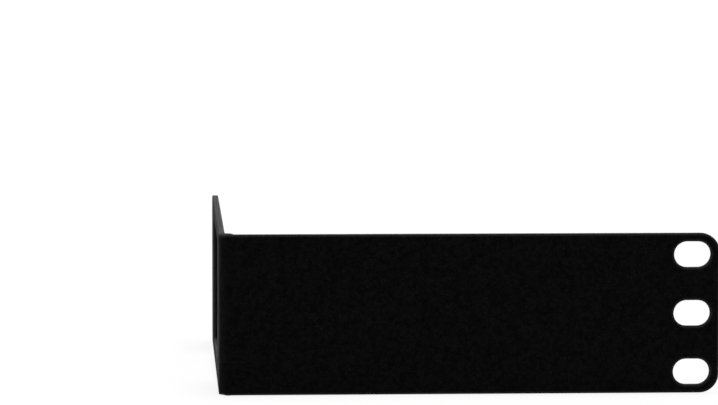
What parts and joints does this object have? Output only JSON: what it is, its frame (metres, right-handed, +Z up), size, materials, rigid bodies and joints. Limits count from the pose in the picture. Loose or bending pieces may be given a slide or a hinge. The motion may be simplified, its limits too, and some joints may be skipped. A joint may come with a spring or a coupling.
{
  "type": "rack mount ear bracket",
  "caption": "Black powder-coated sheet-steel L bracket for rack mounting a half-width device: a long flange with obround rack slots, and a side flange with a window between screw holes.",
  "frame": {"origin": "centre of the middle rack slot, on the face of the rack flange that seats on the rack rail", "axes": "+X outboard along the rack flange, from the fold to the slots; +Y back into the rack, normal to the seating face; +Z up, the 1U height"},
  "size_m": [0.1344, 0.1047, 0.0438],
  "materials": {
    "powder_coated_steel": "satin"
  },
  "bodies": {
    "root": {"ear_bracket": "powder_coated_steel"}
  },
  "joints": []
}
